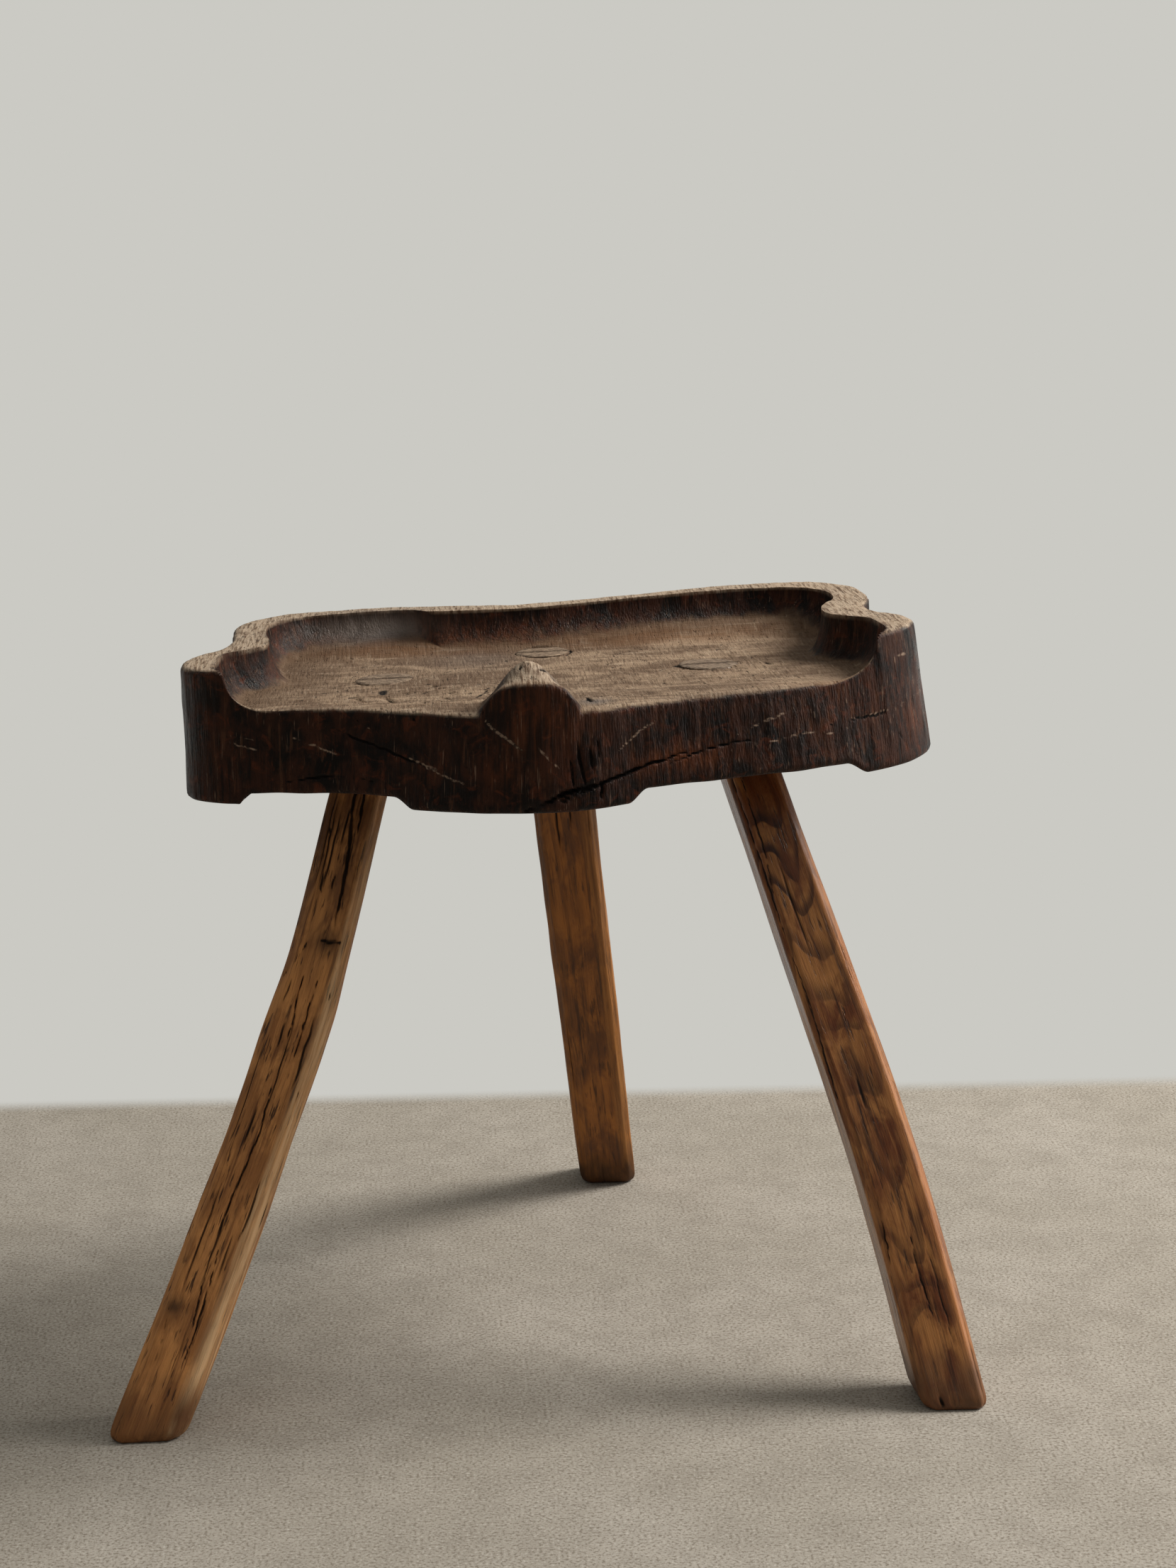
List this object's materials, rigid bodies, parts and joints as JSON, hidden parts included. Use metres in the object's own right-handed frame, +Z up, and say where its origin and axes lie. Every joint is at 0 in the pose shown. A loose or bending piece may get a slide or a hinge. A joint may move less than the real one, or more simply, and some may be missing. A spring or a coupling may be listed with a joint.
{
  "type": "milking stool",
  "caption": "Low hand-carved wooden stool: a thick dished seat with a raised rim, corner horns and a front pommel, on splayed through-tenoned legs.",
  "frame": {"origin": "on the floor, under the middle of the stool's bounding box", "axes": "+Z up, -Y the way the sitter faces (the pommel's side), +X to the right when looking at the stool from the front"},
  "size_m": [0.4622, 0.3964, 0.4049],
  "materials": {
    "seat_wood": "worn, dark aged, low sheen on the sides, dry and paler on the top",
    "leg_left_wood": "dry, split along the grain, pale arrises",
    "leg_right_wood": "rubbed to a gloss, reddish, bold figure",
    "leg_rear_wood": "worn, dark, satin",
    "wedge_wood": "worn flush, grey"
  },
  "bodies": {
    "root": {"seat": "seat_wood", "leg_front_left": "leg_left_wood", "leg_front_right": "leg_right_wood", "leg_rear": "leg_rear_wood", "wedge_front_left": "wedge_wood", "wedge_front_right": "wedge_wood", "wedge_rear": "wedge_wood"}
  },
  "joints": []
}
